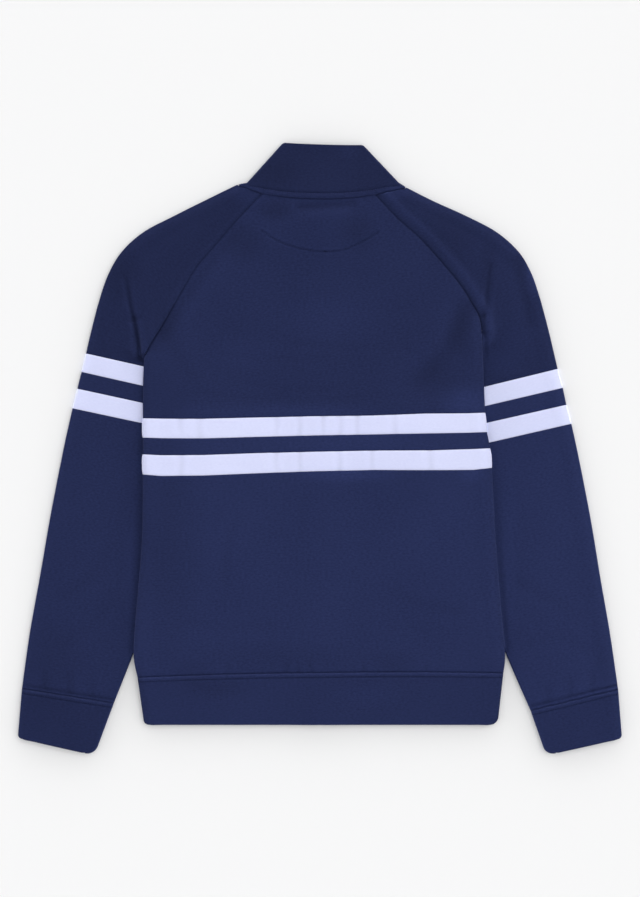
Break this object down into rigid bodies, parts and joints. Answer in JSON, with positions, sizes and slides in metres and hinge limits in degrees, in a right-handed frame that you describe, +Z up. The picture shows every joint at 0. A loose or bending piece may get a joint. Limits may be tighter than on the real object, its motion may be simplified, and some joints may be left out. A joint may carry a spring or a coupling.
{
  "type": "track jacket",
  "caption": "Track jacket in dark knit with raglan sleeves, stand collar, waistband, cuffs and pale bands round body and sleeves, zipped up and laid flat, face down.",
  "frame": {"origin": "middle of the jacket's box on the surface it lies on, z = 0 at its underside", "axes": "+Z up from the surface, +Y towards the collar, +X to the right as seen from above"},
  "size_m": [0.7606, 0.7697, 0.0101],
  "materials": {
    "navy_knit": "dark blue warp knit",
    "pale_knit": "pale blue-white warp knit",
    "zip_tape": "dark woven tape",
    "zip_metal": "nickel-plated cast metal"
  },
  "bodies": {
    "jacket": {"back_upper": "navy_knit", "back_lower": "navy_knit", "front_left_upper": "navy_knit", "front_left_lower": "navy_knit", "front_right_upper": "navy_knit", "front_right_lower": "navy_knit", "body_band_upper": "pale_knit", "body_middle": "navy_knit", "body_band_lower": "pale_knit", "sleeve_left_upper": "navy_knit", "sleeve_left_band_upper": "pale_knit", "sleeve_left_middle": "navy_knit", "sleeve_left_band_lower": "pale_knit", "sleeve_left_lower": "navy_knit", "sleeve_right_upper": "navy_knit", "sleeve_right_band_upper": "pale_knit", "sleeve_right_middle": "navy_knit", "sleeve_right_band_lower": "pale_knit", "sleeve_right_lower": "navy_knit", "cuff_left": "navy_knit", "cuff_right": "navy_knit", "collar": "navy_knit", "waistband": "navy_knit", "zip_tape_left": "zip_tape", "zip_tape_right": "zip_tape", "zip_slider": "zip_metal", "zip_box": "zip_metal"},
    "pull_tab": {"zip_pull_tab": "zip_metal"}
  },
  "joints": [
    {"name": "pull_tab_hinge", "type": "hinge", "parent": "jacket", "child": "pull_tab", "pos_m": [0, 0.2913, 0.00215], "axis": [1, 0, 0], "range_deg": [0, 140]}
  ]
}
